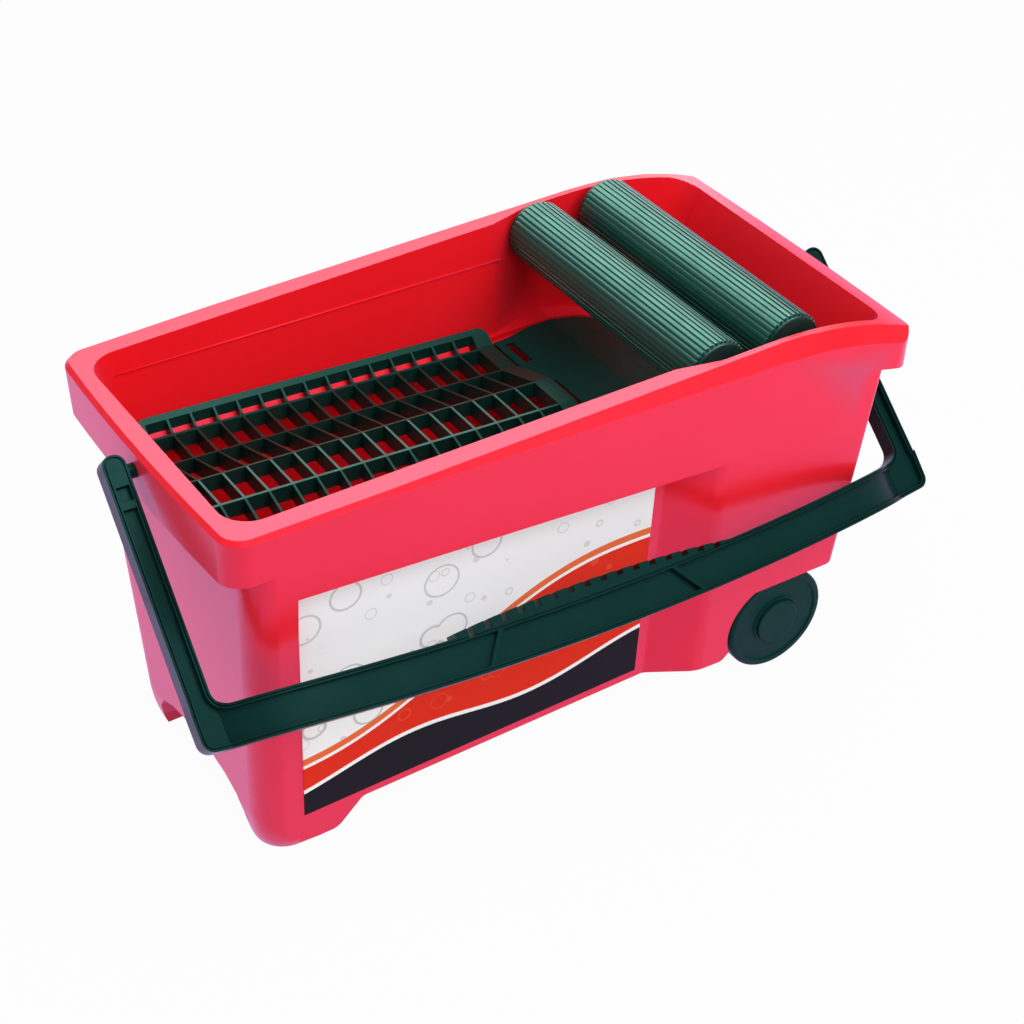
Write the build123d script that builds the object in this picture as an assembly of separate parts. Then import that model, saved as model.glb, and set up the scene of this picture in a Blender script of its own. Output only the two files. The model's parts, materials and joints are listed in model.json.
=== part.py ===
"""Grout cleaning bucket: a drafted tub on two wheels with a scrub grid, a roller wringer and a bail handle.

Building frame: X along the tub with the wheels and rollers at +X, Y across, the label side at -Y,
Z up from the floor. At export every node is shifted so that the origin is the bottom centre of the
bounding box of the whole object at rest. All sizes are millimetres.
"""
import os
from math import degrees, sqrt

from build123d import *

# Tub rim, measured over its outside; widths are set by the inside and an overhang
rim_half_length = 264.0
rim_end_bow = 4.0
rim_top = 299.0
rim_overhang_left = 16.1
rim_overhang_right = 17.0
foot_step_left = -2.6
foot_step_right = 9.6
rim_corner_left = 18.0
rim_corner_right = 16.0
rim_chamfer = 3.0
rim_band_reach = 9.5
rim_band_depth = 11.0
rim_drop = 24.9
rim_drop_run = 120.3

# Tub walls and skirts; an end's setback is measured from the rim's end
wall = 3.2
skirt_wall = 3.0
wall_corner_left = 22.0
wall_corner_right = 5.0
left_skirt_height = 37.0
left_setback_floor = 19.7
left_setback_skirt = 14.1
right_skirt_height = 41.5
right_skirt_slope = 0.26
right_lug_height = 63.0
right_lug_half = 16.0
right_setback_floor = 52.0
right_setback_skirt = 26.8

# Inside of the tub at its floor, its bend and its open top: a narrow end and a wider, raised roller end
main_floor = 24.0
bend_depth = 54.0
main_setback = (22.9, 20.0, 10.1)
main_half_left = (91.0, 104.0, 107.4)
main_half_right = (91.0, 107.5, 112.4)
main_length = 338.0
roller_floor = 91.2
roller_half = (109.0, 117.6, 119.8)
roller_setback = (46.5, 29.5, 1.3)
shoulder_setback = 193.3
shoulder_length = 34.0
cavity_corner = 22.0

# Outside recess that carries the label
recess_setback = 45.7
recess_depth_left = 62.5
recess_depth_right = 83.0
recess_top_length = 329.0
label_thickness = 0.5
label_side_gap = 5.0
label_shoulder_gap = 8.0
label_floor_gap = 3.0
label_top_gap = 6.0

# Underside: feet at the left, a flat bottom, then a wheel arch into the raised roller end
foot_length = 60.0
foot_rise_length = 17.0
foot_end_round = 5.5
foot_side_round = 3.0
foot_corner_round = 12.0
foot_round_height = 50.0
bottom_level = 20.6
arch_gap = 1.2
raised_gap = 3.7
lip_height = 9.0
lip_slope = 0.03
lip_corner_round = 9.0
foot_inner_half = 67.0
grip_depth = 26.0
grip_level = 44.0

# Wheels and their axle
wheel_setback = 90.3
wheel_radius = 42.0
wheel_width = 25.0
axle_radius = 5.0
axle_end_gap = 3.5
hanger_thickness = 12.0
hanger_outer = 92.2
hanger_radius = 16.0
hub_radius = 13.0
hub_pocket = 9.0
hub_cap_radius = 18.0
hub_cap_seat = 2.0
hub_cap_thickness = 4.4
push_nut_thickness = 1.2
washer_thickness = 1.6

# Rollers
roller_radius = 23.5
roller_setbacks = (156.3, 94.3)
roller_depth = 16.0
roller_wall_gap = 7.2
roller_bore_radius = 18.5
flute_count = 36
flute_depth = 1.2
flute_width = 1.5
roller_cap_thickness = 3.0
roller_cap_radius = 22.0
roller_cap_spigot = 12.0
roller_axle_radius = 4.0
bush_flange_radius = 8.5
bush_barrel_radius = 6.5
bush_barrel_length = 10.0
bush_flange = 2.6
boss_radius = 10.5
boss_length = 12.0

# Scrub grid, laid with its roller end lower
grid_tilt = 4.3
grid_end_gap = 7.7
grid_length = 295.0
grid_side_gap = 2.0
grid_crown_run = 17.0
grid_crown_depth = 53.6
grid_depth = 12.0
grid_edge_depth = 7.0
grid_rib = 1.8
grid_cells_long = 16
grid_rows = (16.0, 57.0, 88.0)
grid_wave = 12.8
grid_edge_drop = 3.0
grid_border = 4.0
grid_column_shift = 4.5
grid_corner = 21.0
grid_corner_right = 8.0
rail_width = 7.0
rail_height = 16.0

# Ramp under the rollers, with drain slots across its flat
ramp_thickness = 2.6
ramp_start_step = 6.5
ramp_side_step = 2.0
ramp_depth = 90.0
ramp_grid_gap = 2.5
ramp_flat = 53.5
ramp_bend = 23.0
ramp_bend_drop = 5.5
ramp_end_setback = 58.3
ramp_slope_drop = 25.5
ramp_lead_run = 13.5
ramp_lead_step = 0.5
ramp_rail_overlap = 7.0
ramp_rail_height = 6.0
ramp_bank_gap = 0.8
ramp_bank_height = 1.0
slot_setback = 9.5
slot_width = 6.0
slot_spans = ((-89.0, -61.0), (-30.0, 30.0), (61.0, 89.0))

# Bail handle, drawn hanging straight down and then swung to its rest on the front wall
pivot_left_depth = 15.0
pivot_right_depth = 47.0
handle_rest_angle = 47.2
handle_top = 12.0
handle_side_gap = 6.0
handle_splay_left = 2.5
handle_splay_right = 10.0
handle_arm_width = 16.0
handle_corner_drop = 184.0
handle_middle_drop = 201.0
handle_bar_width = 27.5
handle_depth = 13.0
handle_bow = 26.0
handle_web = 8.5
handle_flange = 3.4
handle_outer_round = 8.5
handle_inner_round = 11.0
groove_inset = 1.4
groove_width = 1.0
groove_depth = 1.6
grip_start = -118.0
grip_end = 104.0
grip_swell = 9.0
grip_start_step = 3.0
grip_notches = 16
grip_notch_width = 5.0
grip_notch_depth = 4.0
rib_left = -72.0
rib_right = 34.0
rib_lean_left = -48.0
rib_lean_right = 53.0
rib_width = 4.0
arm_panel_top = 24.0
arm_window_top = 9.0
arm_window_low = 19.0
pin_radius = 5.0
pin_head_height = 3.0
pin_head_gap = 1.6

# Fits: a running radius gap, a pressed gap, a seat gap and an end float
running_fit = 0.1
press_gap = 0.02
seat_gap = 0.02
end_float = 0.3

# Sizes that follow from the ones above
sides = (-1, 1)
open_level = rim_top + 7.0
bend_level = rim_top - bend_depth
left_skirt_low = rim_top - left_skirt_height
right_skirt_low = rim_top - right_lug_height
rim_drop_start = rim_half_length - rim_drop_run
left_wall_floor = left_setback_floor - rim_half_length
left_wall_skirt = left_setback_skirt - rim_half_length
right_wall_floor = rim_half_length - right_setback_floor
right_wall_skirt = rim_half_length - right_setback_skirt
main_left = [setback - rim_half_length for setback in main_setback]
main_right = main_left[0] + main_length
roller_right = [rim_half_length - setback for setback in roller_setback]
shoulder_start = rim_half_length - shoulder_setback
shoulder_end = shoulder_start + shoulder_length
rim_half_width_left = main_half_left[2] + rim_overhang_left
rim_half_width_right = roller_half[2] + rim_overhang_right
foot_half_width_left = main_half_left[0] + wall + foot_step_left
foot_half_width_right = roller_half[0] + wall + foot_step_right
recess_left = recess_setback - rim_half_length
recess_top_left = rim_top - recess_depth_left
recess_top_right = rim_top - recess_depth_right
label_left = recess_left + label_side_gap
label_right = shoulder_start - label_shoulder_gap
label_low = main_floor + label_floor_gap
foot_right = left_wall_floor + foot_length
foot_rise_end = foot_right + foot_rise_length
arch_radius = wheel_radius + arch_gap
raised_level = roller_floor - raised_gap
lip_level = raised_level - lip_height
wheel_x = rim_half_length - wheel_setback
axle_z = wheel_radius
roller_x = [rim_half_length - setback for setback in roller_setbacks]
roller_z = rim_top - roller_depth
hanger_inner = hanger_outer - hanger_thickness
wheel_face = hanger_outer + washer_thickness + end_float * 2.0 + wheel_width
well_face = wheel_face + end_float * 1.5
axle_half_length = wheel_face - hub_cap_seat - axle_end_gap
roller_half_length = roller_half[2] - roller_wall_gap
bush_face = roller_half_length + end_float + bush_flange
roller_axle_half = bush_face + bush_barrel_length
grid_half_width = main_half_left[1] - grid_side_gap
rail_inner = grid_half_width - rail_width
rail_outer = main_half_left[1] + wall * 0.5
grid_left = main_left[1] + grid_end_gap
grid_right = grid_left + grid_length
grid_crown_x = grid_left + grid_crown_run
grid_crown_z = rim_top - grid_crown_depth
ramp_top = rim_top - ramp_depth
ramp_start = grid_right + ramp_grid_gap
ramp_knee = ramp_start + ramp_flat
ramp_fall = ramp_knee + ramp_bend
ramp_end = rim_half_length - ramp_end_setback
ramp_end_z = ramp_top - ramp_bend_drop - ramp_slope_drop
ramp_half_width = grid_half_width - ramp_side_step
ramp_start_half = grid_half_width - ramp_start_step
slot_x = ramp_start + slot_setback
handle_outer_top = rim_half_length + rim_end_bow + handle_side_gap + handle_arm_width
handle_inner_top = handle_outer_top - handle_arm_width
handle_low = {-1: handle_outer_top + handle_splay_left, 1: handle_outer_top + handle_splay_right}
pin_head_face = rim_half_length + rim_end_bow - skirt_wall - washer_thickness - pin_head_gap
pivot_left_z = rim_top - pivot_left_depth
pivot_right_z = rim_top - pivot_right_depth
pivot_mid_z = (pivot_left_z + pivot_right_z) / 2.0
pivot_span = handle_outer_top * 2.0
pivot_tilt_slope = (pivot_left_z - pivot_right_z) / pivot_span


def between(a, b, t):
    """Value a fraction t of the way from a to b."""
    return a + (b - a) * t


def half_left(z):
    """Half width of the outside at the left rim end, at height z."""
    return between(foot_half_width_left, rim_half_width_left, z / rim_top)


def half_right(z):
    """Half width of the outside at the right rim end, at height z."""
    return between(foot_half_width_right, rim_half_width_right, z / rim_top)


def outside_half(x, z):
    """Half width of the outside of the tub at x and height z."""
    t = (x + rim_half_length) / (2.0 * rim_half_length)
    return between(half_left(z), half_right(z), t)


def level(values, z, floor):
    """Value at height z of a wall given at the floor, the bend and the open top."""
    if z <= bend_level:
        return between(values[0], values[1], (z - floor) / (bend_level - floor))
    return between(values[1], values[2], (z - bend_level) / (open_level - bend_level))


def across(points, half=400.0):
    """Prism through the whole width from an outline drawn in x and z."""
    return extrude(Plane.XZ * make_face(Polyline(*points, close=True)), amount=half, both=True)


def along(points, x0, x1):
    """Prism from x0 to x1 from an outline drawn in y and z."""
    face = Plane.YZ * make_face(Polyline(*points, close=True))
    return Pos(x0, 0, 0) * extrude(face, amount=x1 - x0)


def rod(radius, y0, y1, x, z):
    """Cylinder along Y from y0 to y1."""
    middle = (y0 + y1) / 2.0
    return Pos(x, middle, z) * Rot(90, 0, 0) * Cylinder(radius, abs(y1 - y0))


def ring(outer, inner, y0, y1, x, z):
    """Tube along Y from y0 to y1."""
    return rod(outer, y0, y1, x, z) - rod(inner, min(y0, y1) - 1.0, max(y0, y1) + 1.0, x, z)


def other_side(solid):
    """Copy of a solid on the other side of the long middle plane."""
    return mirror(solid, about=Plane.XZ)


def rim_outline(z, inset):
    """Outline of the outside at height z: long sides that spread, bowed ends, round corners."""
    x = rim_half_length - inset
    left = half_left(z) - inset
    right = half_right(z) - inset
    front = Line((-x, -left), (x, -right))
    right_end = ThreePointArc((x, -right), (x + rim_end_bow, 0), (x, right))
    back = Line((x, right), (-x, left))
    left_end = ThreePointArc((-x, left), (-x - rim_end_bow, 0), (-x, -left))
    face = make_face(Curve() + [front, right_end, back, left_end])
    face = fillet(face.vertices().sort_by(Axis.X)[:2], rim_corner_left - inset)
    return Pos(0, 0, z) * fillet(face.vertices().sort_by(Axis.X)[-2:], max(1.0, rim_corner_right - inset))


def outside_block(inset):
    """Drafted block with the rim outline at every level."""
    return loft([rim_outline(0.0, inset), rim_outline(open_level, inset)], ruled=True)


def rim_block():
    """Drafted block that ends in a small chamfer at the level rim."""
    shoulder = rim_outline(rim_top - rim_chamfer, 0.0)
    return loft([rim_outline(0.0, 0.0), shoulder, rim_outline(rim_top, rim_chamfer)], ruled=True)


def wall_section(z, end_inset=0.0, side_inset=-0.2):
    """Plan of the walls below the end skirts at height z; the long sides keep just clear outside."""
    left = between(left_wall_floor, left_wall_skirt, z / left_skirt_low) + end_inset
    right = between(right_wall_floor, right_wall_skirt, z / right_skirt_low)
    half_a = outside_half(left, z) - side_inset
    half_b = outside_half(right, z) - side_inset
    corners = [(left, -half_a), (right, -half_b), (right, half_b), (left, half_a)]
    face = make_face(Polyline(*corners, close=True))
    face = fillet(face.vertices().sort_by(Axis.X)[:2], wall_corner_left)
    return Pos(0, 0, z) * fillet(face.vertices().sort_by(Axis.X)[-2:], wall_corner_right)


def wall_block():
    """Drafted block inside the end walls, with round upright corners."""
    return loft([wall_section(-40.0), wall_section(rim_top + 20.0)], ruled=True)


def foot_block():
    """Lower end of the walls, drawn in towards the floor so that the feet are round underneath."""
    sections = []
    for share in (-0.02, 0.08, 0.2, 0.36, 0.64, 1.0):
        end = foot_end_round * (1.0 - share) ** 3 - 0.5
        side = foot_side_round * max(0.0, 1.0 - share * 2.6) ** 3 - 0.7
        sections.append(wall_section(foot_round_height * share, end, side))
    return loft(sections, ruled=True)


def skirt_line(x):
    """Height of the right skirt's lower edge, which falls towards the end with the rim."""
    return rim_top - right_skirt_height - right_skirt_slope * (x - rim_half_length + right_setback_floor)


def rim_fall(x):
    """How far the rim line has dropped at x."""
    if x <= rim_drop_start:
        return 0.0
    radius = (rim_drop_run * rim_drop_run + rim_drop * rim_drop) / (2.0 * rim_drop)
    return radius - sqrt(radius * radius - (x - rim_drop_start) ** 2)


def rim_band():
    """What a sloping band takes off the outer edge of the front rim; it widens towards the rollers."""
    sections = []
    runs = (0.0, 0.33, 0.6, 0.85, 1.1)
    for x in [-rim_half_length - 6.0] + [rim_drop_start + rim_drop_run * run for run in runs]:
        share = min(1.0, (x + rim_half_length + 6.0) / (rim_drop_start + rim_half_length + 6.0))
        reach = between(0.5, rim_band_reach, share)
        depth = between(0.5, rim_band_depth, share)
        z = rim_top - rim_fall(x)
        y = outside_half(x, z)
        inner = (reach * 1.4 - y, z + depth * 0.4)
        lower = (-reach * 0.4 - y, z - depth * 1.4)
        points = [inner, lower, (-y - 14.0, z + 12.0)]
        sections.append(Pos(x, 0, 0) * (Plane.YZ * make_face(Polyline(*points, close=True))))
    return loft(sections, ruled=True)


def rim_profile(lower):
    """Side view of everything below the rim line, which drops in an arc towards the rollers' end."""
    end = rim_half_length + rim_end_bow + 12.0
    middle = (end + rim_drop_start) / 2.0
    fall = rim_fall(end)
    top = rim_top - lower
    start = -end
    flat = Line((start, top), (rim_drop_start, top))
    arc = ThreePointArc((rim_drop_start, top), (middle, top - rim_fall(middle)), (end, top - fall))
    rest = Polyline((end, top - fall), (end, -60), (start, -60), (start, top))
    return extrude(Plane.XZ * make_face(Curve() + [flat, arc, rest]), amount=400, both=True)


def main_section(z, grow):
    """Plan of the scrubbing end at height z."""
    left = level(main_left, z, main_floor) - grow
    half_a = level(main_half_left, z, main_floor) + grow
    half_b = level(main_half_right, z, main_floor) + grow
    right = main_right + grow
    points = [(left, -half_a), (right, -half_b), (right, half_b), (left, half_a)]
    face = make_face(Polyline(*points, close=True))
    corners = face.vertices().sort_by(Axis.X)[:2]
    return Pos(0, 0, z) * fillet(corners, cavity_corner + grow * 0.8)


def main_block(grow):
    """Inside of the scrubbing end, grown outwards by a thickness."""
    low = main_floor - grow
    return loft([main_section(z, grow) for z in (low, bend_level, open_level)], ruled=True)


def shoulder_half(z):
    """Half width of the scrubbing end where the shoulder starts, at height z."""
    t = (shoulder_start - main_left[0]) / (main_right - main_left[0])
    return between(level(main_half_left, z, main_floor), level(main_half_right, z, main_floor), t)


def roller_section(z, grow):
    """Plan of the roller end at height z, with a shoulder that runs out from the narrow end."""
    narrow = shoulder_half(z) + grow
    wide = level(roller_half, z, roller_floor) + grow
    right = level(roller_right, z, roller_floor) + grow
    half = [
        (shoulder_start - 30.0, narrow - 5.0),
        (shoulder_start, narrow),
        (shoulder_end, wide),
        (right, wide),
    ]
    points = [(x, -y) for x, y in half] + [(x, y) for x, y in reversed(half)]
    face = make_face(Polyline(*points, close=True))
    soft = face.vertices().filter_by(lambda v: v.X > shoulder_start - 1.0)
    return Pos(0, 0, z) * fillet(soft, cavity_corner - 2.0)


def roller_block(grow):
    """Inside of the roller end, grown outwards by a thickness."""
    low = roller_floor - grow
    return loft([roller_section(z, grow) for z in (low, bend_level, open_level)], ruled=True)


def recess_section(z):
    """Plan of the label recess in the front wall at height z, with its soft shoulder."""
    panel = shoulder_half(z) + wall
    outside = outside_half(shoulder_end, z)
    far = shoulder_end + 46.0
    points = [
        (recess_left, -60.0),
        (shoulder_start - 30.0, -60.0),
        (shoulder_start - 30.0, 5.0 - panel),
        (shoulder_start, -panel),
        (shoulder_end, 0.3 - outside),
        (far, -outside_half(far, z) - 1.2),
        (far, -200.0),
        (recess_left, -200.0),
    ]
    face = make_face(Polyline(*points, close=True))
    soft = face.vertices().filter_by(lambda v: shoulder_start - 1.0 < v.X < shoulder_end + 1.0)
    return Pos(0, 0, z) * fillet(soft, 24.0)


def recess_top(x):
    """Height of the sloping line over the label recess."""
    slope = (recess_top_left - recess_top_right) / recess_top_length
    return recess_top_left - slope * (x - recess_left)


def recess_cutter():
    """What the label recess takes out of the front wall, down to the wall of the scrubbing end."""
    body = loft([recess_section(z) for z in (-10.0, bend_level)], ruled=True)
    start = recess_left - 10.0
    end = shoulder_end + 60.0
    return body & across([(start, -20), (end, -20), (end, recess_top(end)), (start, recess_top(start))])


def pivot_place(angle):
    """Place of the handle's own frame when it is swung an angle from straight down to the front."""
    return Pos(0, 0, pivot_mid_z) * Rot(0, degrees(pivot_tilt_slope), 0) * Rot(-angle, 0, 0)


def make_tub():
    """One moulded tub: skirts, recessed side walls, feet, wheel arches and raised roller end."""
    body = rim_block()
    walls = wall_block()
    far = rim_half_length + 50.0
    lug = Pos(rim_half_length, 0, right_skirt_low + 20.0) * Box(70.0, right_lug_half * 2.0, 40.0)
    body -= across([(-far, -30), (0, -30), (0, left_skirt_low), (-far, left_skirt_low)]) - walls
    skirt_start = shoulder_end
    right_low = [(skirt_start, -30), (skirt_start, skirt_line(skirt_start)), (far, skirt_line(far)), (far, -30)]
    body -= across(right_low) - walls - lug
    low_end = across([(-far, -30), (0, -30), (0, foot_round_height), (-far, foot_round_height)])
    body -= low_end - foot_block()
    body &= rim_profile(0.0)
    band = rim_band()
    body -= band
    body -= other_side(band)

    shell = main_block(wall) + roller_block(wall)
    panel = loft([main_section(z, wall) for z in (-20.0, bend_level, open_level)], ruled=True)
    recess = recess_cutter() - panel
    body -= recess
    body -= other_side(recess)

    skirts = outside_block(skirt_wall)
    hollow = skirts & rim_profile(rim_band_depth + 0.7)
    hollow += outside_block(rim_band_reach + 1.5) & rim_profile(wall)
    hollow += skirts & rim_profile(wall) & Pos(0, 0, rim_top / 2.0) * Box(far * 2.0, 120.0, rim_top + 40.0)
    left_end = left_wall_skirt - 1.5
    right_end = right_wall_skirt + 2.0
    hollow &= across([
        (-far, left_skirt_low - 4.0),
        (left_end, left_skirt_low - 4.0),
        (left_end, left_skirt_low + 1.0),
        (recess_left + 3.0, left_skirt_low + 1.0),
        (recess_left + 3.0, recess_top(recess_left + 3.0) + wall),
        (shoulder_end, recess_top(shoulder_end) + wall),
        (shoulder_end, bend_level - 5.0),
        (shoulder_end + 12.0, bend_level - 5.0),
        (shoulder_end + 12.0, -20.0),
        (right_wall_floor - 24.0, -20.0),
        (right_wall_floor - 24.0, skirt_line(right_wall_floor - 24.0) + 1.0),
        (right_end, skirt_line(right_end) + 1.0),
        (right_end, right_skirt_low - 3.0),
        (far, right_skirt_low - 3.0),
        (far, rim_top + 20.0),
        (-far, rim_top + 20.0),
    ])
    body -= hollow - shell

    inside = main_block(0.0) + roller_block(0.0)
    liner = main_block(wall * 0.5) + roller_block(wall * 0.5)
    bosses = []
    sockets = []
    for x in roller_x:
        for side in sides:
            start = side * bush_face
            bosses.append(rod(boss_radius, start, start + side * boss_length, x, roller_z))
            sockets.append(rod(bush_barrel_radius, start - side * 6.0, start + side * 12.5, x, roller_z))
    body = body + bosses - (inside - bosses) - sockets

    under = make_face(Polyline(
        (-far, -20.0),
        (-far, -0.05),
        (foot_right - 3.0, -0.05),
        (foot_rise_end, bottom_level),
        (wheel_x - arch_radius - 3.0, bottom_level - 1.0),
        (wheel_x - arch_radius + 6.0, bottom_level + 9.0),
        (wheel_x, bottom_level + 9.0),
        (wheel_x, -20.0),
        close=True,
    ))
    bends = under.vertices().filter_by(lambda v: bottom_level - 2.0 < v.Y < bottom_level + 1.0)
    under = fillet(bends, 7.0)
    heel = under.vertices().sort_by_distance((foot_right - 3.0, 0, 0))[:1]
    body -= extrude(Plane.XZ * fillet(heel, foot_corner_round), amount=400, both=True)
    arch = rod(arch_radius, -200, 200, wheel_x, axle_z)
    lip_start = wheel_x - arch_radius * 0.55
    body -= arch & across([(0, -20), (lip_start, -20), (lip_start, rim_top), (0, rim_top)])
    body -= rod(arch_radius, -well_face, well_face, wheel_x, axle_z)
    body -= lip_cutter(lip_start, far)
    pocket_end = right_wall_floor - wall
    pocket = across([
        (wheel_x, axle_z),
        (wheel_x, raised_level),
        (pocket_end, raised_level),
        (pocket_end, axle_z),
    ], well_face - 2.0)
    body -= pocket
    gap = foot_inner_half
    half = [(gap + 3.0, -20), (gap, 0), (gap - 6.0, bottom_level)]
    body -= along([(-y, z) for y, z in half] + half[::-1], -far, foot_rise_end + 12.0)

    body += tip_grip(0.0) & main_block(wall * 0.5)
    body -= tip_grip(-wall)

    hanger_top = roller_floor - 1.0
    for side in sides:
        middle = side * (hanger_inner + hanger_outer) / 2.0
        post = Box(hanger_radius * 2.0, hanger_thickness, hanger_top - axle_z)
        body += rod(hanger_radius, side * hanger_inner, side * hanger_outer, wheel_x, axle_z)
        body += Pos(wheel_x, middle, (axle_z + hanger_top) / 2.0) * post
        body += grid_place() * grid_rail(side)
        body += ramp_rail(side) & liner
    body -= rod(axle_radius + press_gap, -200, 200, wheel_x, axle_z)
    body -= pivot_place(0.0) * along_pivot(pin_radius + running_fit, -320, 320) & ends_only()
    return body


def lip_cutter(start, far):
    """Space under the raised end, round where its lip turns up into the end wall."""
    low = lip_level + lip_slope * (right_wall_floor - start)
    high = low + 50.0
    lines = [between(right_wall_floor, right_wall_skirt, z / right_skirt_low) + 0.15 for z in (low, high)]
    face = make_face(Polyline(
        (start, -20.0),
        (start, lip_level),
        (lines[0], low),
        (lines[1], high),
        (far, high),
        (far, -20.0),
        close=True,
    ))
    turn = face.vertices().sort_by_distance((lines[0], low, 0))[:1]
    return extrude(Plane.XZ * fillet(turn, lip_corner_round), amount=400, both=True)


def tip_grip(grow):
    """Hand hold under the left end for tipping the tub out: a hump in the floor, hollow below."""
    top = grip_level + wall + grow
    run = left_wall_floor + grip_depth
    far = rim_half_length + 50.0
    side = across([(-far, -30), (run + grow + 14.0, -30), (run + grow, top), (-far, top)])
    width = foot_inner_half + wall + grow
    arch = ((1.0, -0.7), (1.0, 0.2), (0.96, 0.5), (0.84, 0.74), (0.6, 0.9), (0.3, 0.98), (0.0, 1.0))
    half = [(width * a, top * b) for a, b in arch]
    return side & along([(-y, z) for y, z in half[:-1]] + half[::-1], -far, 0)


def along_pivot(radius, u0, u1):
    """Cylinder along the handle's hinge line."""
    return Pos((u0 + u1) / 2.0, 0, 0) * Rot(0, 90, 0) * Cylinder(radius, abs(u1 - u0))


def ends_only():
    """The two skirt zones where the handle pins pass."""
    end = Box(16, 60, 90)
    return Pos(-rim_half_length, 0, pivot_left_z) * end + Pos(rim_half_length, 0, pivot_right_z) * end


def grid_place():
    """Place of the scrub grid's own frame, tilted down towards the rollers."""
    return Pos(grid_crown_x, 0, grid_crown_z) * Rot(0, grid_tilt, 0)


def grid_line(lower):
    """Cross section line of the grid's wavy top, lowered by an amount."""
    inner, middle, outer = grid_rows
    low = -grid_wave
    half = [(inner, 0.0), (middle, low), (outer, low), (grid_half_width, -grid_edge_drop)]
    line = [(-y, z) for y, z in reversed(half)] + half
    return [(y, z - lower) for y, z in line]


def grid_under():
    """Cross section line of the grid's underside, which rises at its edges."""
    line = grid_line(grid_depth)
    edge = -grid_edge_drop - grid_edge_depth
    return [(-grid_half_width, edge)] + line[1:-1] + [(grid_half_width, edge)]


def grid_rail(side):
    """Ledge on the inner wall under the edge of the grid."""
    inner, outer = rail_inner, grid_half_width
    rise = grid_wave + grid_depth - grid_edge_drop - grid_edge_depth
    slope = rise / (outer - grid_rows[2])
    seat = -grid_edge_drop - grid_edge_depth - seat_gap
    points = [
        (inner, seat - slope * (outer - inner)),
        (outer, seat),
        (rail_outer, seat),
        (rail_outer, seat - rail_height),
    ]
    return along([(side * y, z) for y, z in points], 4.0, grid_right - grid_crown_x - 16.0)


def ramp_line(lower):
    """Side view line of the ramp's top, lowered by an amount."""
    flat = [(ramp_start, ramp_top), (ramp_knee, ramp_top)]
    fall = [(ramp_fall, ramp_top - ramp_bend_drop), (ramp_end, ramp_end_z)]
    return [(x, z - lower) for x, z in flat + fall]


def ramp_rail(side):
    """Ledge on the inner wall under the edge of the ramp, with a bank beside it."""
    seat = ramp_line(ramp_thickness + seat_gap)
    low = [(x, z - ramp_rail_height) for x, z in reversed(seat)]
    under = across(seat + low) & side_zone(side, ramp_half_width - ramp_rail_overlap)
    bank = across(ramp_line(-ramp_bank_height) + low) & side_zone(side, ramp_half_width + ramp_bank_gap)
    return under + bank


def side_zone(side, inner):
    """Everything farther than an inner distance from the long middle plane, on one side."""
    return Pos(0, side * (inner + 100.0), rim_top / 2.0) * Box(800.0, 200.0, rim_top)


def make_label():
    """Thin sheet that follows the recessed front wall."""
    sheet = main_block(wall + label_thickness) - main_block(wall)
    window = across([
        (label_left, label_low),
        (label_right, label_low),
        (label_right, recess_top(label_right) - label_top_gap),
        (label_left, recess_top(label_left) - label_top_gap),
    ])
    front = Pos(0, -200, 150) * Box(900, 300, 400)
    return sheet & window & front


def grid_plan(start, length, inset):
    """Plan of the grid with its left corners rounded like the tub's and its right ones a little."""
    half = grid_half_width - inset
    left = start + inset
    right = start + length - inset
    face = make_face(Polyline((left, -half), (right, -half), (right, half), (left, half), close=True))
    face = fillet(face.vertices().sort_by(Axis.X)[:2], grid_corner - inset)
    return fillet(face.vertices().sort_by(Axis.X)[-2:], grid_corner_right - inset)


def make_grid():
    """Wavy egg-crate of ribs with a border."""
    points = grid_line(0.0) + grid_under()[::-1]
    outline = make_face(Polyline(*points, close=True))
    soft = outline.vertices().filter_by(lambda v: abs(v.X) < grid_half_width - 1.0)
    outline = fillet(soft, 10.0)
    start = grid_left - grid_crown_x
    length = grid_right - grid_left
    plate = Pos(start, 0, 0) * extrude(Plane.YZ * outline, amount=length)
    plate &= Pos(0, 0, -60) * extrude(grid_plan(start, length, 0.0), amount=120)
    pitch = (length - grid_border * 3.0) / grid_cells_long
    inner, middle, outer = grid_rows
    lines = [-grid_half_width, -outer, -middle, -inner, inner, middle, outer, grid_half_width]
    holes = Sketch()
    for column in range(grid_cells_long):
        x = start + grid_border - grid_column_shift + pitch * (column + 0.5)
        for low, high in zip(lines[:-1], lines[1:]):
            holes += Pos(x, (low + high) / 2.0) * Rectangle(pitch - grid_rib, high - low - grid_rib)
    holes &= grid_plan(start, length, grid_border)
    plate -= Pos(0, 0, -60) * extrude(holes, amount=120)
    return grid_place() * plate


def make_ramp():
    """Bent plate under the rollers that leads the water away, with drain slots across its flat."""
    sheet = across(ramp_line(0.0) + ramp_line(ramp_thickness)[::-1])
    half = [
        (shoulder_start + 4.0 - ramp_lead_run * 9.0, ramp_start_half - ramp_lead_step * 8.0),
        (shoulder_start + 4.0, ramp_start_half + ramp_lead_step),
        (shoulder_start + 24.0, ramp_half_width),
        (ramp_end + 5.0, ramp_half_width),
    ]
    plan = make_face(Polyline(*half, *[(x, -y) for x, y in reversed(half)], close=True))
    bends = plan.vertices().filter_by(lambda v: shoulder_start < v.X < shoulder_end)
    sheet &= extrude(fillet(bends, 20.0), amount=320)
    for low, high in slot_spans:
        sheet -= Pos(slot_x, (low + high) / 2.0, ramp_top) * Box(slot_width, high - low, 20.0)
    return sheet


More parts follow.
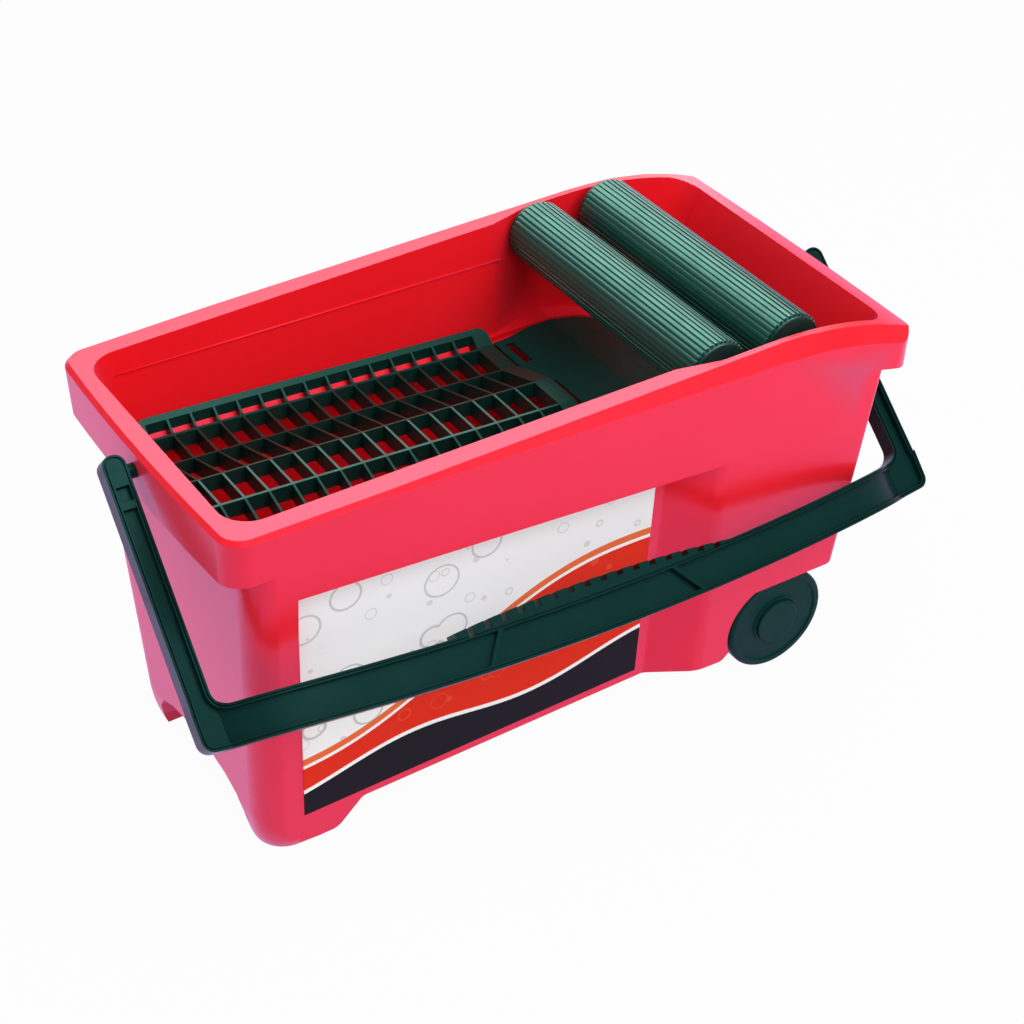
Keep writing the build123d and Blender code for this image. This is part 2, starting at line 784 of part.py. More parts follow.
def make_roller_sleeve(x):
    """Fluted tube of one roller."""
    outline = Circle(roller_radius) - Circle(roller_bore_radius)
    flute = Pos(roller_radius, 0) * Rectangle(flute_depth * 2.0, flute_width)
    for index in range(flute_count):
        outline -= Rot(0, 0, 360.0 / flute_count * index) * flute
    half = roller_half_length - roller_cap_thickness
    tube = Pos(0, 0, -half) * extrude(outline, amount=half * 2.0)
    return Pos(x, 0, roller_z) * Rot(90, 0, 0) * tube


def make_roller_cap(x, side):
    """End disc of a roller with a spigot inside the tube."""
    face = side * roller_half_length
    seat = side * (roller_half_length - roller_cap_thickness)
    cap = rod(roller_cap_radius, seat, face, x, roller_z)
    cap += rod(roller_bore_radius - press_gap, seat - side * roller_cap_spigot, seat, x, roller_z)
    return cap - rod(roller_axle_radius + press_gap, -200, 200, x, roller_z)


def make_bush(x, side):
    """Flanged bearing bush in the tub wall."""
    flange_face = side * (bush_face - bush_flange)
    bush = rod(bush_flange_radius, flange_face, side * bush_face, x, roller_z)
    end = side * (bush_face + bush_barrel_length)
    bush += rod(bush_barrel_radius - press_gap, side * bush_face, end, x, roller_z)
    return bush - rod(roller_axle_radius + running_fit, -200, 200, x, roller_z)


def make_wheel(side):
    """Moulded wheel with a dished outer face and a hollow back."""
    inner = side * (wheel_face - wheel_width)
    outer = side * wheel_face
    wheel = rod(wheel_radius, inner, outer, wheel_x, axle_z)
    rims = wheel.edges().filter_by(GeomType.CIRCLE)
    wheel = fillet(rims, 3.0)
    wheel -= ring(wheel_radius - 6.0, hub_radius + 3.0, inner - side, outer - side * 8.0, wheel_x, axle_z)
    dish = outer - side * 1.2
    wheel -= ring(wheel_radius - 6.0, hub_cap_radius + 2.5, dish, outer + side, wheel_x, axle_z)
    seat = outer - side * hub_cap_seat
    wheel -= rod(hub_cap_radius + press_gap, seat, outer + side, wheel_x, axle_z)
    wheel -= rod(hub_radius - 2.0, outer - side * hub_pocket, outer + side, wheel_x, axle_z)
    return wheel - rod(axle_radius + running_fit, -200, 200, wheel_x, axle_z)


def make_hub_cap(side):
    """Round cover pressed into the wheel over the axle end."""
    seat = side * (wheel_face - hub_cap_seat)
    disc = rod(hub_cap_radius, seat, seat + side * hub_cap_thickness, wheel_x, axle_z)
    rims = disc.edges().filter_by(GeomType.CIRCLE).sort_by(Axis.Y)
    disc = fillet(rims[-1] if side > 0 else rims[0], 1.2)
    outer = hub_radius - 2.0 - press_gap
    return disc + ring(outer, hub_radius - 4.0, seat - side * 4.0, seat, wheel_x, axle_z)


def make_push_nut(side):
    """Spring nut that keeps a wheel on its axle."""
    start = side * (wheel_face - hub_pocket + end_float)
    end = start + side * push_nut_thickness
    return ring(hub_radius - 4.5, axle_radius + press_gap, start, end, wheel_x, axle_z)


def make_axle_washer(side):
    """Washer between a hanger and its wheel."""
    start = side * (hanger_outer + end_float)
    end = start + side * washer_thickness
    return ring(hub_radius - 1.5, axle_radius + end_float, start, end, wheel_x, axle_z)


def bar_drop(u, drop):
    """Drop below the hinge line, at u, of a bar line that has the given drop at the corners."""
    sag = handle_middle_drop - handle_corner_drop
    return drop + sag * (1.0 - (u / handle_outer_top) ** 2)


def bow_at(u):
    """How far the bar stands out to the front at u; the arms stay in their plane."""
    return handle_bow * (1.0 - min(1.0, abs(u) / handle_inner_top) ** 9)


def bow_band(start, depth):
    """Region between two curves that follow the handle's outward bow, from a start over a depth."""
    places = [handle_inner_top * share for share in (-1.0, -0.95, -0.84, -0.6, 0.0, 0.6, 0.84, 0.95, 1.0)]
    far = handle_outer_top + 40.0
    back = [(u, -start - bow_at(u)) for u in places]
    front = [(u, y - depth) for u, y in back]
    right = Polyline(back[-1], (far, -start), (far, -start - depth), front[-1])
    left = Polyline(front[0], (-far, -start - depth), (-far, -start), back[0])
    outline = Curve() + [Spline(*back), right, Spline(*front[::-1]), left]
    return Pos(0, 0, -300) * extrude(make_face(outline), amount=360)


def bar_face(u0, u1, top, low):
    """Outline between two sagging lines, given by their drops at the corners."""
    middle = (u0 + u1) / 2.0
    upper = [(u, -bar_drop(u, top)) for u in (u0, middle, u1)]
    lower = [(u, -bar_drop(u, low)) for u in (u1, middle, u0)]
    top_edges = [ThreePointArc(*upper), Line(upper[2], lower[0])]
    low_edges = [ThreePointArc(*lower), Line(lower[2], upper[0])]
    return make_face(Curve() + top_edges + low_edges)


def arm_face(side):
    """Outline of one splayed arm with a round top."""
    outer = side * handle_low[side]
    inner = side * (handle_low[side] - handle_arm_width)
    arm = make_face(Polyline(
        (side * handle_outer_top, handle_top),
        (outer, -bar_drop(outer, handle_corner_drop)),
        (inner, -bar_drop(inner, handle_corner_drop)),
        (side * handle_inner_top, handle_top),
        close=True,
    ))
    return fillet(arm.vertices().sort_by(Axis.Y)[-2:], handle_arm_width * 0.45)


def handle_outline():
    """Front view of the bail without its grip, with rounded corners."""
    inner_drop = handle_corner_drop - handle_bar_width
    face = bar_face(-handle_low[-1], handle_low[1], inner_drop, handle_corner_drop)
    face = face + arm_face(-1) + arm_face(1)
    for side in sides:
        outer = side * handle_low[side]
        inner = side * (handle_low[side] - handle_arm_width)
        outer_corner = (outer, -bar_drop(outer, handle_corner_drop), 0)
        inner_corner = (inner, -bar_drop(inner, inner_drop), 0)
        face = fillet(face.vertices().sort_by_distance(outer_corner)[:1], handle_outer_round)
        face = fillet(face.vertices().sort_by_distance(inner_corner)[:1], handle_inner_round)
    return face


def upright(face):
    """Prism through the whole depth of the handle from its front view."""
    return extrude(Plane.XZ * face, amount=100, both=True)


def cross_rib(u, lean):
    """Leaning rib across the bar's panel, starting at u on its upper edge."""
    top = -handle_middle_drop + handle_bar_width + 20.0
    low = -handle_middle_drop - 20.0
    points = [(u, top), (u + rib_width, top), (u + rib_width + lean, low), (u + lean, low)]
    return make_face(Polyline(*points, close=True))


def make_handle():
    """Bail with splayed arms and a bowed bar; a sunk panel runs round it and a notched grip sits on top."""
    outline = handle_outline()
    inner_drop = handle_corner_drop - handle_bar_width
    middle = (grip_start + grip_end) / 2.0
    grip_top = [
        (grip_start, grip_start_step - bar_drop(grip_start, inner_drop)),
        (middle, grip_swell - bar_drop(middle, inner_drop)),
        (grip_end, -bar_drop(grip_end, inner_drop)),
    ]
    grip_low = [(grip_end, grip_top[2][1] - 8.0), (grip_start, grip_top[0][1] - 8.0)]
    grip = Curve() + [ThreePointArc(*grip_top), Polyline(grip_top[2], *grip_low, grip_top[0])]
    body = upright(outline + make_face(grip)) & bow_band(-handle_depth / 2.0, handle_depth)

    panel = offset(outline, amount=-handle_flange)
    above = Pos(0, -arm_panel_top + 100.0) * Rectangle(900.0, 200.0)
    panel -= above
    panel -= cross_rib(rib_left, rib_lean_left)
    panel -= cross_rib(rib_right, rib_lean_right)
    window_level = -(arm_window_top + arm_window_low) / 2.0
    window_width = handle_arm_width - handle_flange * 2.0
    for side in sides:
        window_u = side * (handle_outer_top - handle_arm_width / 2.0)
        panel += Pos(window_u, window_level) * Rectangle(window_width, arm_window_low - arm_window_top)
    body -= upright(panel) & bow_band(-handle_depth / 2.0 + handle_web, handle_depth)

    groove = offset(outline, amount=-groove_inset) - offset(outline, amount=-groove_inset - groove_width)
    body -= upright(groove) & bow_band(handle_depth / 2.0 - groove_depth, handle_depth)

    step = (grip_end - grip_start - 24.0) / (grip_notches - 1)
    for index in range(grip_notches):
        u = grip_start + 12.0 + step * index
        share = (u - middle) / (grip_end - middle)
        top = grip_swell * (1.0 - share * share) - bar_drop(u, inner_drop)
        body -= Pos(u, 0, top) * Box(grip_notch_width, 200, grip_notch_depth * 2.0)
    for side in sides:
        start = side * (handle_inner_top - 6.0)
        body -= along_pivot(pin_radius + press_gap, start, side * (handle_outer_top - 5.5))
    return body


def make_pin(side):
    """Headed pin from inside the skirt into the arm of the handle."""
    shank = along_pivot(pin_radius, side * pin_head_face, side * (handle_outer_top - 6.0))
    head = pin_head_face - pin_head_height
    return shank + along_pivot(pin_radius + 4.0, side * head, side * pin_head_face)


def make_pin_washer(side):
    """Washer between a pin head and the skirt."""
    start = pin_head_face + 0.2
    outer = along_pivot(pin_radius + 4.5, side * start, side * (start + washer_thickness))
    return outer - along_pivot(pin_radius + end_float, side * (start - 5.0), side * (start + 9.0))


def group(*solids):
    """Several equal solids kept in one node."""
    return Compound([solid for shape in solids for solid in shape.solids()])


rest = pivot_place(handle_rest_angle)
nodes = {
    "tub": make_tub(),
    "front_label": make_label(),
    "scrub_grid": make_grid(),
    "drip_ramp": make_ramp(),
    "handle": rest * make_handle(),
    "handle_pin_left": rest * make_pin(-1),
    "handle_pin_right": rest * make_pin(1),
    "handle_pin_washers": group(*[rest * make_pin_washer(side) for side in sides]),
    "roller_bushes": group(*[make_bush(x, side) for x in roller_x for side in sides]),
    "wheel_axle": rod(axle_radius, -axle_half_length, axle_half_length, wheel_x, axle_z),
    "wheel_front": make_wheel(-1),
    "wheel_back": make_wheel(1),
    "hub_cap_front": make_hub_cap(-1),
    "hub_cap_back": make_hub_cap(1),
    "axle_washers": group(*[make_axle_washer(side) for side in sides]),
    "axle_push_nuts": group(*[make_push_nut(side) for side in sides]),
}
for name, x in (("inner_roller", roller_x[0]), ("outer_roller", roller_x[1])):
    nodes[name + "_sleeve"] = make_roller_sleeve(x)
    nodes[name + "_cap_front"] = make_roller_cap(x, -1)
    nodes[name + "_cap_back"] = make_roller_cap(x, 1)
    nodes[name + "_axle"] = rod(roller_axle_radius, -roller_axle_half, roller_axle_half, x, roller_z)

boxes = [shape.bounding_box() for shape in nodes.values()]
shift_x = -(min(b.min.X for b in boxes) + max(b.max.X for b in boxes)) / 2.0
shift_y = -(min(b.min.Y for b in boxes) + max(b.max.Y for b in boxes)) / 2.0
shift_z = -min(b.min.Z for b in boxes)
print("shift", shift_x, shift_y, shift_z)

os.makedirs("parts", exist_ok=True)
for name, shape in nodes.items():
    moved = Pos(shift_x, shift_y, shift_z) * shape
    moved.label = name
    export_step(moved, "parts/" + name + ".step")
    volume = sum(solid.volume for solid in moved.solids()) / 1000.0
    print(name, len(moved.solids()), round(volume, 2), moved.is_valid)
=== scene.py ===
import json
from math import cos, pi, radians, sin

import bmesh
import bpy
from mathutils import Matrix, Vector


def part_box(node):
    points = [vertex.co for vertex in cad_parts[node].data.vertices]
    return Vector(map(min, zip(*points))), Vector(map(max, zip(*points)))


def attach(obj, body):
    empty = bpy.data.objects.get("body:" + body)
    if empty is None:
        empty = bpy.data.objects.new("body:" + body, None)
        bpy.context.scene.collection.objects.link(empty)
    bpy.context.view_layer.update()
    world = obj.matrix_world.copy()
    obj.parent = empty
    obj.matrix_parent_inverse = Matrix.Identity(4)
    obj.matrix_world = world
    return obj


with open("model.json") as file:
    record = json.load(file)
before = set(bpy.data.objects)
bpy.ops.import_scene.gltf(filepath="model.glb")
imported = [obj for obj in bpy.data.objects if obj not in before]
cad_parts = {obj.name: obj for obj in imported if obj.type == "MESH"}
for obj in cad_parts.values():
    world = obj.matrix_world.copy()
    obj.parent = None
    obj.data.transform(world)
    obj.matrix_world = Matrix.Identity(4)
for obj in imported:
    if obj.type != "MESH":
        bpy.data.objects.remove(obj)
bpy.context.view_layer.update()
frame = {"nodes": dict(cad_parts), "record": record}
nodes = frame["nodes"]

# Camera, solved from the photograph: angles in degrees, lengths in metres, image in pixels, sensor in mm
image_size = 1024
camera_azimuth = -33.252
camera_elevation = 37.607
camera_roll = 0.361
camera_focal_pixels = 2227.173
camera_aim = (0.013578, 0.109056)
camera_distance = 1.689947
camera_centre = Vector((0.003168, 0.0173335, 0.0))
camera_sensor = 36.0
camera_near = 0.05
camera_far = 100.0

# Bead inside the long walls: its two ends in the source's own millimetres, shift and radius in metres
millimetres_per_metre = 1000.0
part_shift = Vector((0.002468, 0.0173335, 0.0))
bead_line = ((-236.0, 106.1, 281.0), (77.0, 109.2, 269.0))
bead_radius = 0.0007
bead_sides = 10

# Softened edges: lengths in metres, angles in degrees
weld_gap = 0.000004
flat_angle = 0.6
edge_angle = 28.0
edge_segments = 2
tub_edge = 0.0012
small_edge = 0.0005
normal_weight = 60

# Colours, linear
tub_red = (0.86, 0.0095, 0.0150)
tub_red_deep = (0.80, 0.0070, 0.0115)
tub_gloss = (1.0, 0.50, 0.95)
tub_bloom = (0.70, 0.42, 1.0)
handle_green = (0.0020, 0.0170, 0.0152)
handle_green_pale = (0.0030, 0.0220, 0.0200)
wheel_green = (0.0020, 0.0260, 0.0205)
wheel_green_pale = (0.0030, 0.0320, 0.0255)
inner_green = (0.0014, 0.0200, 0.0165)
inner_green_pale = (0.0024, 0.0270, 0.0220)
roller_green = (0.0040, 0.0400, 0.0310)
roller_green_pale = (0.0050, 0.0480, 0.0380)
ramp_green = (0.0008, 0.0300, 0.0230)
ramp_green_pale = (0.0012, 0.0380, 0.0290)
handle_gloss = (0.30, 1.0, 0.92)
inner_gloss = (0.36, 1.0, 0.80)
zinc_pale = (0.60, 0.61, 0.62)
zinc_deep = (0.46, 0.47, 0.49)
label_white = (0.96, 0.96, 0.96)
label_shade = (0.88, 0.89, 0.91)
label_grey = (0.52, 0.53, 0.55)
label_orange = (0.86, 0.16, 0.05)
label_red = (0.78, 0.030, 0.012)
label_black = (0.010, 0.010, 0.012)
floor_pale = (0.56, 0.56, 0.56)
floor_deep = (0.53, 0.53, 0.53)
floor_shown = (1.0, 1.0, 1.0)
floor_mirrored = (1.10, 0.80, 1.42)
world_white = (1.0, 1.0, 1.0)

# Surfaces: noise scales per metre, details in octaves, relief height in metres, the rest as shares
relief_height = 0.0002
plain_detail = 2.0
fine_detail = 3.0
finest_detail = 4.0
red_cloud_scale = 9.0
red_grain_scale = 420.0
red_relief = 0.05
red_roughness = 0.27
red_ior = 1.49
red_specular = 0.6
red_sheen = 0.18
red_sheen_roughness = 0.4
dark_cloud_scale = 22.0
dark_grain_scale = 1300.0
dark_patch_scale = 60.0
dark_patch_span = (0.45, 0.70)
dark_cloud_dulling = 0.08
dark_patch_dulling = 0.06
dark_relief = 0.07
dark_ior = 1.6
roller_relief = 0.02
steel_line_scale = 1.0
steel_line_stretch = (1500.0, 60.0, 1500.0)
steel_bloom_scale = 140.0
steel_relief = 0.12
steel_roughness = 0.28
steel_bloom_dulling = 0.14

# Dark plastics: deep and pale colour, roughness, specular share, tint of the gloss, relief
dark_plastics = {
    "handle_dark": (handle_green, handle_green_pale, 0.26, 0.18, handle_gloss, dark_relief),
    "grid_dark": (inner_green, inner_green_pale, 0.32, 0.50, inner_gloss, dark_relief),
    "ramp_dark": (ramp_green, ramp_green_pale, 0.50, 0.20, handle_gloss, dark_relief),
    "roller_dark": (roller_green, roller_green_pale, 0.27, 1.0, inner_gloss, roller_relief),
    "wheel_dark": (wheel_green, wheel_green_pale, 0.40, 0.07, handle_gloss, dark_relief),
    "bush_dark": (handle_green, handle_green_pale, 0.45, 0.4, handle_gloss, dark_relief),
}

# Label print: heights and slopes as shares of the sheet, rings as cells per metre with their two edges
shade_span = (0.35, 1.0)
large_rings = (24.0, 0.30, 0.335)
small_rings = (58.0, 0.22, 0.27)
swell_rings = (40.0, 0.26, 0.29)
large_ring_ink = 0.8
small_ring_ink = 0.5
swell_ring_ink = 0.35
ring_scatter = 0.85
swell_slope = 0.34
swell_wave = (5.2, 0.9, 0.085)
swell_bands = ((0.335, label_orange), (0.305, label_white), (0.290, label_red))
swell_ring_top = 0.285
foot_slope = 0.05
foot_wave = (8.5, 2.2, 0.035)
foot_bands = ((0.150, label_white), (0.132, label_black))
label_fibre_scale = 900.0
label_relief = 0.05
label_roughness = 0.42
label_fibre_dulling = 0.08
label_specular = 0.05

# Studio: floor in metres; strengths of the world in the gloss and in the other light
floor_size = 24.0
floor_drop = 0.0002
floor_grain_scale = 3.0
floor_share_shown = 0.96
world_in_gloss = 0.22
world_in_rest = 0.76

# Lamps: place, aim and size in metres, power in watts, and the light that each shows in
lamps = {
    "key_front": ((1.0, -1.9, 1.9), (0.0, 0.0, 0.15), (1.4, 1.2), 28.0, "diffuse"),
    "back_card": ((0.8, 2.1, 1.0), (0.0, 0.0, 0.25), (2.8, 2.0), 34.0, "gloss"),
    "high_card": ((0.55, 1.70, 2.15), (0.14, 0.0, 0.28), (2.8, 0.8), 31.0, "gloss"),
    "overhead": ((0.1, -0.8, 2.3), (0.0, 0.0, 0.2), (1.6, 1.3), 26.0, "both"),
}


class Wire:
    """A node socket that takes part in Python expressions with other sockets and with numbers."""

    def __init__(self, tree, socket=None):
        self.tree = tree
        self.socket = socket

    def add(self, kind, settings=None, inputs=None, out=0):
        """A new node: its settings first, then the values or links of its sockets."""
        node = self.tree.nodes.new(kind)
        for name, value in (settings or {}).items():
            setattr(node, name, value)
        for name, value in (inputs or {}).items():
            socket = node.inputs[name]
            if isinstance(value, Wire):
                self.tree.links.new(value.socket, socket)
            elif socket.type == "RGBA":
                socket.default_value = (*value, 1.0)
            else:
                socket.default_value = value
        return Wire(self.tree, node.outputs[out] if node.outputs else None)

    def beside(self, name):
        """Another output of the same node."""
        return Wire(self.tree, self.socket.node.outputs[name])

    def math(self, operation, first, second):
        return self.add("ShaderNodeMath", {"operation": operation}, {0: first, 1: second})

    def __add__(self, other):
        return self.math("ADD", self, other)

    def __radd__(self, other):
        return self.math("ADD", other, self)

    def __sub__(self, other):
        return self.math("SUBTRACT", self, other)

    def __rsub__(self, other):
        return self.math("SUBTRACT", other, self)

    def __mul__(self, other):
        return self.math("MULTIPLY", self, other)

    def __truediv__(self, other):
        return self.math("DIVIDE", self, other)

    def __lt__(self, other):
        return self.math("LESS_THAN", self, other)

    def __gt__(self, other):
        return self.math("GREATER_THAN", self, other)


def new_tree(name):
    """A new node material and the start of its expressions."""
    material = bpy.data.materials.new(name)
    material.use_nodes = True
    material.node_tree.nodes.clear()
    return material, Wire(material.node_tree)


def close_tree(start, shader):
    """Link a shader to the material's output."""
    start.add("ShaderNodeOutputMaterial", {}, {"Surface": shader})


def coat(start, inputs):
    """Close a material with one surface shader."""
    close_tree(start, start.add("ShaderNodeBsdfPrincipled", {}, inputs))


def place_on(start):
    """The point on the piece, in metres, moving with it."""
    return start.add("ShaderNodeTexCoord", {}, {}, "Object")


def noise(start, point, scale, detail=plain_detail):
    """Cloudy noise between about 0 and 1."""
    return start.add("ShaderNodeTexNoise", {}, {"Vector": point, "Scale": scale, "Detail": detail}, "Fac")


def relief(start, strength, height):
    """Shallow bumps for a shader's normal."""
    inputs = {"Strength": strength, "Distance": relief_height, "Height": height}
    return start.add("ShaderNodeBump", {}, inputs)


def mix_colour(start, factor, first, second):
    """Blend of two colours."""
    return start.add("ShaderNodeMix", {"data_type": "RGBA"}, {0: factor, 6: first, 7: second}, 2)


def ramp_between(start, value, span):
    """0 below the span, 1 above it, smooth between."""
    inputs = {"Value": value, "From Min": span[0], "From Max": span[1]}
    return start.add("ShaderNodeMapRange", {"interpolation_type": "SMOOTHSTEP"}, inputs)


def stretched(start, point, factors):
    """A point scaled along its axes."""
    return start.add("ShaderNodeVectorMath", {"operation": "MULTIPLY"}, {0: point, 1: factors})


def ray_kinds(start):
    """1 or 0 for a camera ray, a glossy ray and a transmitted ray."""
    camera = start.add("ShaderNodeLightPath", {}, {}, "Is Camera Ray")
    return camera, camera.beside("Is Glossy Ray"), camera.beside("Is Transmission Ray")


def moulded_red():
    """Glossy red tub moulding with faint flow clouds and a fine mould grain."""
    material, start = new_tree("moulded_red")
    point = place_on(start)
    cloud = noise(start, point, red_cloud_scale, fine_detail)
    grain = noise(start, point, red_grain_scale)
    coat(start, {
        "Base Color": mix_colour(start, cloud, tub_red, tub_red_deep),
        "Roughness": red_roughness,
        "Normal": relief(start, red_relief, grain),
        "IOR": red_ior,
        "Specular IOR Level": red_specular,
        "Specular Tint": tub_gloss,
        "Sheen Weight": red_sheen,
        "Sheen Roughness": red_sheen_roughness,
        "Sheen Tint": tub_bloom,
    })
    return material


def moulded_dark(name, deep, pale, roughness, specular, tint, grain_relief):
    """Satin green-black moulding: pale clouds, fine grain and dull handling patches."""
    material, start = new_tree(name)
    point = place_on(start)
    cloud = noise(start, point, dark_cloud_scale, finest_detail)
    grain = noise(start, point, dark_grain_scale)
    patch = noise(start, point, dark_patch_scale, fine_detail)
    patch = ramp_between(start, patch, dark_patch_span)
    coat(start, {
        "Base Color": mix_colour(start, cloud, deep, pale),
        "Roughness": roughness + cloud * dark_cloud_dulling + patch * dark_patch_dulling,
        "Normal": relief(start, grain_relief, grain),
        "IOR": dark_ior,
        "Specular IOR Level": specular,
        "Specular Tint": tint,
    })
    return material


def zinc_steel():
    """Zinc-plated steel with fine turning lines."""
    material, start = new_tree("zinc_steel")
    point = place_on(start)
    lines = noise(start, stretched(start, point, steel_line_stretch), steel_line_scale)
    bloom = noise(start, point, steel_bloom_scale, fine_detail)
    coat(start, {
        "Base Color": mix_colour(start, bloom, zinc_pale, zinc_deep),
        "Roughness": steel_roughness + bloom * steel_bloom_dulling,
        "Normal": relief(start, steel_relief, lines),
        "Metallic": 1.0,
    })
    return material


def printed_label():
    """Printed sheet: soap rings on white, sweeping red and orange waves, a dark wave at the foot."""
    low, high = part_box("front_label")
    material, start = new_tree("printed_label")
    point = place_on(start)
    x = start.add("ShaderNodeSeparateXYZ", {}, {"Vector": point}, "X")
    across = (x - low.x) / (high.x - low.x)
    up = (x.beside("Z") - low.z) / (high.z - low.z)

    def wave(speed, phase, height):
        turn = across * speed + phase
        return start.add("ShaderNodeMath", {"operation": "SINE"}, {0: turn}) * height

    def rings(scale, inner_edge, outer_edge):
        flat = stretched(start, point, (1.0, 0.0, 1.0))
        inputs = {"Vector": flat, "Scale": scale, "Randomness": ring_scatter}
        cell = start.add("ShaderNodeTexVoronoi", {}, inputs, "Distance")
        return (cell > inner_edge) * (cell < outer_edge)

    ground = mix_colour(start, ramp_between(start, up, shade_span), label_white, label_shade)
    ground = mix_colour(start, rings(*large_rings) * large_ring_ink, ground, label_grey)
    ground = mix_colour(start, rings(*small_rings) * small_ring_ink, ground, label_grey)
    swell = up - across * swell_slope + wave(*swell_wave)
    for level, colour in swell_bands:
        ground = mix_colour(start, swell < level, ground, colour)
    suds = rings(*swell_rings) * (swell < swell_ring_top) * swell_ring_ink
    ground = mix_colour(start, suds, ground, label_orange)
    foot = up - across * foot_slope + wave(*foot_wave)
    for level, colour in foot_bands:
        ground = mix_colour(start, foot < level, ground, colour)
    fibre = noise(start, point, label_fibre_scale)
    coat(start, {
        "Base Color": ground,
        "Roughness": label_roughness + fibre * label_fibre_dulling,
        "Normal": relief(start, label_relief, fibre),
        "Specular IOR Level": label_specular,
    })
    return material


def soften(node, width):
    """Round the hard edges of a CAD piece a little and give it smooth shading."""
    piece = nodes[node]
    weld = piece.modifiers.new("weld", "WELD")
    weld.merge_threshold = weld_gap
    flat = piece.modifiers.new("flat", "DECIMATE")
    flat.decimate_type = "DISSOLVE"
    flat.angle_limit = radians(flat_angle)
    bevel = piece.modifiers.new("bevel", "BEVEL")
    bevel.width = width
    bevel.segments = edge_segments
    bevel.limit_method = "ANGLE"
    bevel.angle_limit = radians(edge_angle)
    level = piece.modifiers.new("level", "WEIGHTED_NORMAL")
    level.weight = normal_weight
    level.keep_sharp = True


def dress(node, material):
    """Give a CAD piece its finish."""
    piece = nodes[node]
    piece.data.materials.clear()
    piece.data.materials.append(material)


def wall_bead(side, material):
    """Fine moulded bead along the inside of a long wall, half sunk in it."""
    ends = [Vector((x, side * y, z)) / millimetres_per_metre + part_shift for x, y, z in bead_line]
    along = (ends[1] - ends[0]).normalized()
    out = along.cross(Vector((0.0, 0.0, 1.0))).normalized()
    up = out.cross(along)
    mesh = bmesh.new()
    rings = []
    for end in ends:
        ring = []
        for step in range(bead_sides):
            turn = 2.0 * pi * step / bead_sides
            ring.append(mesh.verts.new(end + (out * cos(turn) + up * sin(turn)) * bead_radius))
        rings.append(ring)
    for step in range(bead_sides):
        after = (step + 1) % bead_sides
        mesh.faces.new((rings[0][step], rings[0][after], rings[1][after], rings[1][step]))
    for ring in (rings[0][::-1], rings[1]):
        mesh.faces.new(ring)
    bmesh.ops.recalc_face_normals(mesh, faces=mesh.faces)
    data = bpy.data.meshes.new("wall_bead")
    mesh.to_mesh(data)
    mesh.free()
    for face in data.polygons:
        face.use_smooth = len(face.vertices) == 4
    bead = bpy.data.objects.new("wall_bead_back" if side > 0 else "wall_bead_front", data)
    bpy.context.scene.collection.objects.link(bead)
    data.materials.append(material)
    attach(bead, "tub_body")


def studio_floor():
    """Pale floor that shows white to the camera and keeps a soft shadow."""
    material, start = new_tree("studio_floor")
    camera, glossy, through = ray_kinds(start)
    grain = noise(start, place_on(start), floor_grain_scale)
    paper = mix_colour(start, grain, floor_pale, floor_deep)
    matte = start.add("ShaderNodeBsdfDiffuse", {}, {"Color": paper})
    sheet = mix_colour(start, glossy, floor_shown, floor_mirrored)
    glow = start.add("ShaderNodeEmission", {}, {"Color": sheet})
    shown = (camera + glossy + through) * floor_share_shown
    close_tree(start, start.add("ShaderNodeMixShader", {}, {0: shown, 1: matte, 2: glow}))
    bpy.ops.mesh.primitive_plane_add(size=floor_size, location=(0.0, 0.0, -floor_drop))
    floor = bpy.context.object
    floor.name = "studio_floor"
    floor.data.materials.append(material)


def studio_world():
    """White surround for the camera, a weaker one in the gloss and an even light for the rest."""
    world = bpy.data.worlds.new("studio")
    bpy.context.scene.world = world
    world.use_nodes = True
    world.node_tree.nodes.clear()
    start = Wire(world.node_tree)
    camera, glossy, through = ray_kinds(start)
    seen = camera + through
    strength = seen + glossy * world_in_gloss + (1.0 - seen - glossy) * world_in_rest
    back = start.add("ShaderNodeBackground", {}, {"Color": world_white, "Strength": strength})
    start.add("ShaderNodeOutputWorld", {}, {"Surface": back})


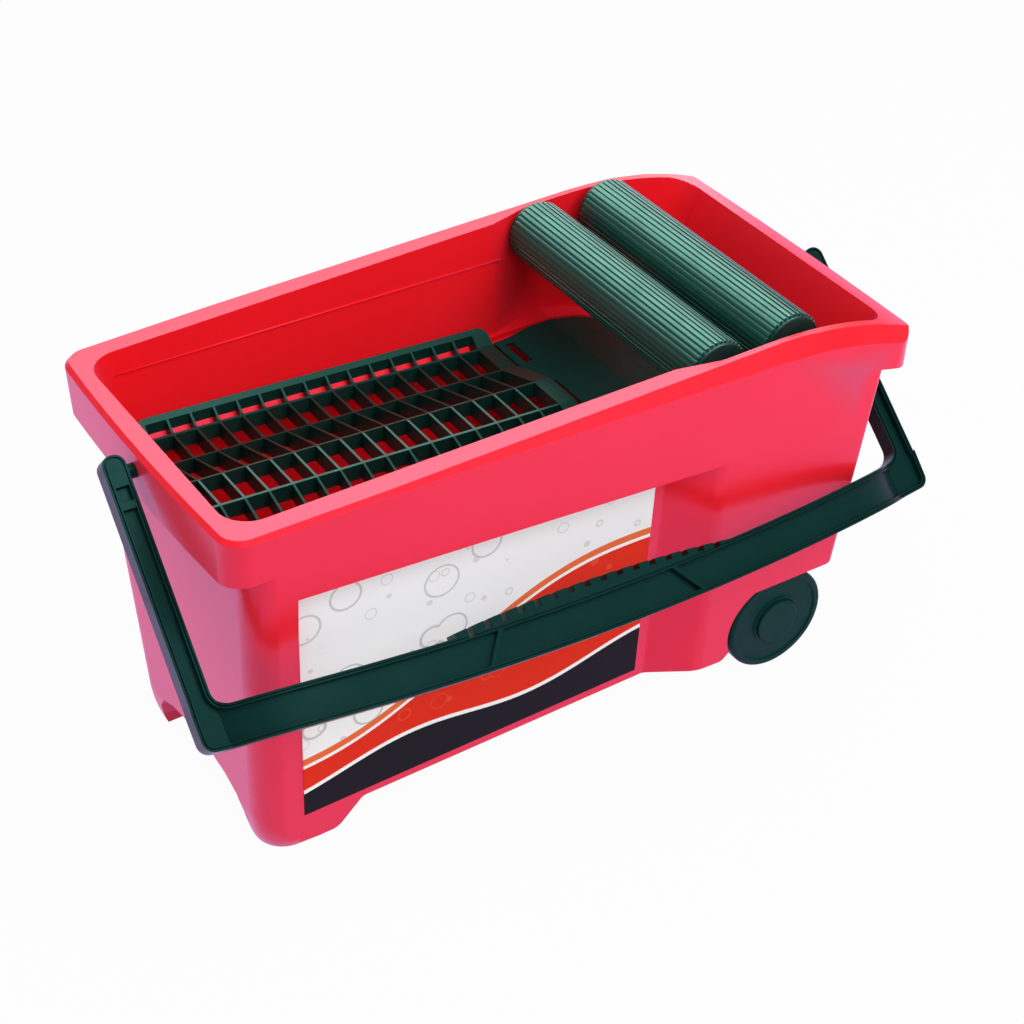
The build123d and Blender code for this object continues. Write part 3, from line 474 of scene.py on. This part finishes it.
def softbox(name, place, aim, size, power, shows_in):
    """Large rectangular lamp aimed at a point; it can show in the gloss or the diffuse light alone."""
    lamp = bpy.data.lights.new(name, "AREA")
    lamp.shape = "RECTANGLE"
    lamp.size, lamp.size_y = size
    lamp.energy = power
    holder = bpy.data.objects.new(name, lamp)
    bpy.context.scene.collection.objects.link(holder)
    holder.location = place
    holder.rotation_mode = "QUATERNION"
    holder.rotation_quaternion = (Vector(aim) - Vector(place)).to_track_quat("-Z", "Y")
    holder.visible_diffuse = shows_in != "gloss"
    holder.visible_glossy = shows_in != "diffuse"


def place_camera():
    """Camera at the photograph's viewpoint."""
    azimuth = radians(camera_azimuth)
    elevation = radians(camera_elevation)
    right = Vector((cos(azimuth), sin(azimuth), 0.0))
    back = Vector((sin(azimuth) * cos(elevation), -cos(azimuth) * cos(elevation), sin(elevation)))
    up = back.cross(right)
    turn = radians(camera_roll)
    right, up = right * cos(turn) + up * sin(turn), up * cos(turn) - right * sin(turn)
    place = right * camera_aim[0] + up * camera_aim[1] + back * camera_distance + camera_centre
    data = bpy.data.cameras.new("photo_camera")
    data.sensor_width = camera_sensor
    data.lens = camera_focal_pixels / image_size * camera_sensor
    data.clip_start = camera_near
    data.clip_end = camera_far
    camera = bpy.data.objects.new("photo_camera", data)
    bpy.context.scene.collection.objects.link(camera)
    camera.matrix_world = Matrix((
        (right.x, up.x, back.x, place.x),
        (right.y, up.y, back.y, place.y),
        (right.z, up.z, back.z, place.z),
        (0.0, 0.0, 0.0, 1.0),
    ))
    bpy.context.scene.camera = camera


red = moulded_red()
dark = {name: moulded_dark(name, *settings) for name, settings in dark_plastics.items()}
finish_of_slot = {
    "red_tub": red,
    "label_sheet": printed_label(),
    "dark_plastic": dark["handle_dark"],
    "roller_plastic": dark["roller_dark"],
    "wheel_plastic": dark["wheel_dark"],
    "bush_plastic": dark["bush_dark"],
    "zinc_steel": zinc_steel(),
}
for sub in frame["record"]["subparts"]:
    dress(sub["node"], finish_of_slot[sub["material_slot"]])
dress("scrub_grid", dark["grid_dark"])
dress("drip_ramp", dark["ramp_dark"])
for name in nodes:
    if "_roller_cap_" in name:
        dress(name, dark["grid_dark"])

for side in (-1, 1):
    wall_bead(side, red)
for name in nodes:
    soften(name, tub_edge if name == "tub" else small_edge)

studio_floor()
studio_world()
for name, settings in lamps.items():
    softbox(name, *settings)
place_camera()
bpy.context.scene.view_settings.view_transform = "Standard"
